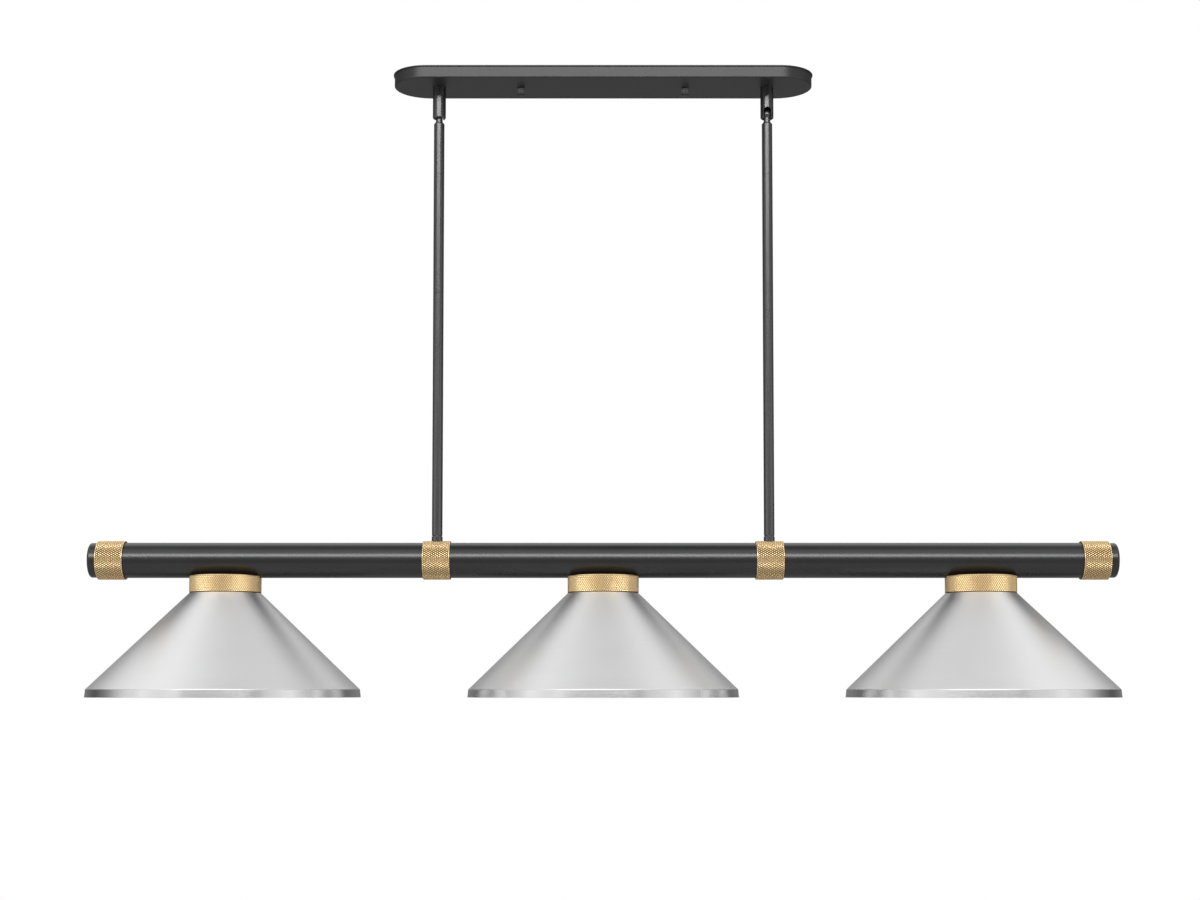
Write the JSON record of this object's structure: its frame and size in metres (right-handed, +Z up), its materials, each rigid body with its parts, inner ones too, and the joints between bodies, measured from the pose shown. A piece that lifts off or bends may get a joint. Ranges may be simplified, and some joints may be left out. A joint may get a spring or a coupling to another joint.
{
  "type": "linear island pendant",
  "caption": "Long bar with spun cone shades under knurled collars, hung by rods on ball swivels from a flat round-ended ceiling canopy.",
  "frame": {"origin": "centre of the mounting strap's top face, midway between the ceiling box's screw slots", "axes": "+X along the bar, +Y towards the back, +Z up into the ceiling"},
  "size_m": [1.35, 0.3554, 0.8291],
  "materials": {
    "satin_black": "satin",
    "knurled_brass": "diamond knurled, satin",
    "brushed_nickel": "brushed round the axis",
    "zinc_steel": "bright zinc plated",
    "ground_green": "gloss",
    "socket_porcelain": "glazed",
    "socket_brass": "bright",
    "ring_black": "matt",
    "bulb_cap": "rolled",
    "bulb_opal": "opal"
  },
  "bodies": {
    "ceiling_mount": {"canopy": "satin_black", "mounting_strap": "zinc_steel", "canopy_studs": "zinc_steel", "stud_locknuts": "zinc_steel", "ground_screw": "ground_green", "swivel_nipples": "zinc_steel", "swivel_washers": "zinc_steel", "swivel_locknuts": "zinc_steel", "swivel_body_left": "satin_black", "swivel_body_right": "satin_black"},
    "canopy_nut_left": {"canopy_nut_left": "satin_black"},
    "canopy_nut_right": {"canopy_nut_right": "satin_black"},
    "bulb_left": {"bulb_base_left": "bulb_cap", "bulb_glass_left": "bulb_opal"},
    "bulb_centre": {"bulb_base_centre": "bulb_cap", "bulb_glass_centre": "bulb_opal"},
    "bulb_right": {"bulb_base_right": "bulb_cap", "bulb_glass_right": "bulb_opal"},
    "hanging_frame": {"ball_stud_left": "satin_black", "ball_stud_right": "satin_black", "bar_tube": "satin_black", "end_band_left": "knurled_brass", "end_band_right": "knurled_brass", "end_cap_left": "satin_black", "end_cap_right": "satin_black", "foot_coupling_left": "satin_black", "foot_coupling_right": "satin_black", "foot_nipples": "zinc_steel", "shade_centre": "brushed_nickel", "shade_collar_centre": "knurled_brass", "shade_collar_left": "knurled_brass", "shade_collar_right": "knurled_brass", "shade_left": "brushed_nickel", "shade_locknuts": "zinc_steel", "shade_nipples": "zinc_steel", "shade_right": "brushed_nickel", "shade_ring_centre": "ring_black", "shade_ring_left": "ring_black", "shade_ring_right": "ring_black", "shade_saddles": "zinc_steel", "socket_centre": "socket_porcelain", "socket_contacts": "socket_brass", "socket_left": "socket_porcelain", "socket_right": "socket_porcelain", "socket_shell_centre": "socket_brass", "socket_shell_left": "socket_brass", "socket_shell_right": "socket_brass", "stem_band_left": "knurled_brass", "stem_band_right": "knurled_brass", "stem_bottom_left": "satin_black", "stem_bottom_right": "satin_black", "stem_locknuts": "zinc_steel", "stem_middle_left": "satin_black", "stem_middle_right": "satin_black", "stem_nipples": "zinc_steel", "stem_saddles": "zinc_steel", "stem_top_left": "satin_black", "stem_top_right": "satin_black"}
  },
  "joints": [
    {"name": "fixture_swing", "type": "hinge", "parent": "ceiling_mount", "child": "hanging_frame", "pos_m": [0, 0, -0.0525], "axis": [1, 0, 0], "range_deg": [-15, 15]},
    {"name": "canopy_nut_left_turn", "type": "hinge", "parent": "ceiling_mount", "child": "canopy_nut_left", "pos_m": [-0.1097, 0, -0.0216], "axis": [0, 0, 1], "continuous": true},
    {"name": "canopy_nut_right_turn", "type": "hinge", "parent": "ceiling_mount", "child": "canopy_nut_right", "pos_m": [0.1097, 0, -0.0216], "axis": [0, 0, 1], "continuous": true},
    {"name": "bulb_left_unscrew", "type": "slide", "parent": "hanging_frame", "child": "bulb_left", "axis": [0, 0, -1], "range_m": [0, 0.03]},
    {"name": "bulb_centre_unscrew", "type": "slide", "parent": "hanging_frame", "child": "bulb_centre", "axis": [0, 0, -1], "range_m": [0, 0.03]},
    {"name": "bulb_right_unscrew", "type": "slide", "parent": "hanging_frame", "child": "bulb_right", "axis": [0, 0, -1], "range_m": [0, 0.03]}
  ]
}
